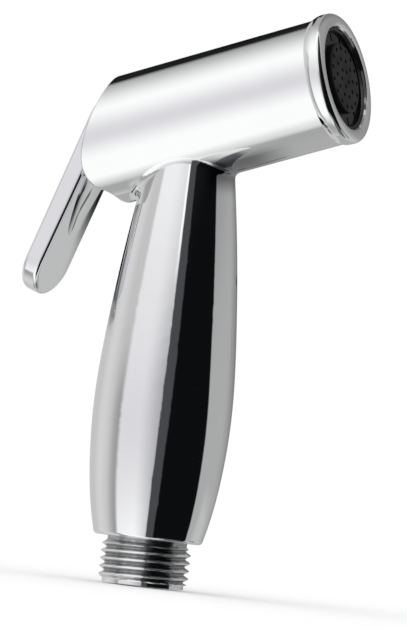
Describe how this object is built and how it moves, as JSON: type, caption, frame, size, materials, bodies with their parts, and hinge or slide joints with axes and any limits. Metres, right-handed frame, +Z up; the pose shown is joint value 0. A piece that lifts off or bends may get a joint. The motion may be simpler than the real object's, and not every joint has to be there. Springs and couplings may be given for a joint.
{
  "type": "bidet hand shower",
  "caption": "Chromed bidet hand shower with a belly-shaped grip, a tilted barrel head, a rear trigger lever, a black spray face and a threaded hose inlet.",
  "frame": {"origin": "centre of the hose thread's end face", "axes": "+Z up the grip from the hose thread, +X towards the spray face, Y across the lever's width"},
  "size_m": [0.0788, 0.0324, 0.1362],
  "materials": {
    "chrome_casting": "polished chrome plate on a zinc casting",
    "chrome_lever": "polished chrome plate on a zinc casting",
    "chrome_brass": "chrome plate on turned brass",
    "bare_brass": "turned",
    "steel": "drawn stainless wire and rod",
    "black_plastic": "moulded, glossy",
    "black_face": "moulded, satin",
    "grey_plastic": "moulded acetal",
    "white_plastic": "moulded acetal",
    "seal_rubber": "matt"
  },
  "bodies": {
    "casting": {"body_shell": "chrome_casting", "inlet_nipple": "chrome_brass", "nipple_seal": "seal_rubber", "inlet_filter": "white_plastic", "water_tube": "white_plastic", "tube_seal_lower": "seal_rubber", "tube_seal_upper": "seal_rubber", "valve_sleeve": "grey_plastic", "stem_guide": "white_plastic", "lock_ring": "bare_brass", "return_spring": "steel", "pivot_pin": "steel", "outlet_seal": "seal_rubber", "spray_cup": "black_plastic", "cup_seal": "seal_rubber", "spray_disc": "black_face", "distributor_plate": "white_plastic"},
    "lever": {"trigger_lever": "chrome_lever"},
    "spool": {"plunger": "bare_brass", "plunger_seal_front": "seal_rubber", "plunger_seal_rear": "seal_rubber", "plunger_cap": "white_plastic"}
  },
  "joints": [
    {"name": "lever_pivot", "type": "hinge", "parent": "casting", "child": "lever", "pos_m": [-0.01721, 0, 0.11173], "axis": [0, -1, 0], "range_deg": [0, 11.5]},
    {"name": "plunger_slide", "type": "slide", "parent": "casting", "child": "spool", "axis": [0.9478, 0, 0.319], "range_m": [0, 0.00171], "stiffness_N_per_m": 2460, "springref_m": -0.003, "deforming": ["return_spring"]}
  ],
  "couplings": [
    {"joint": "lever_pivot", "follows": "plunger_slide", "rad_per_m": 117.2}
  ]
}
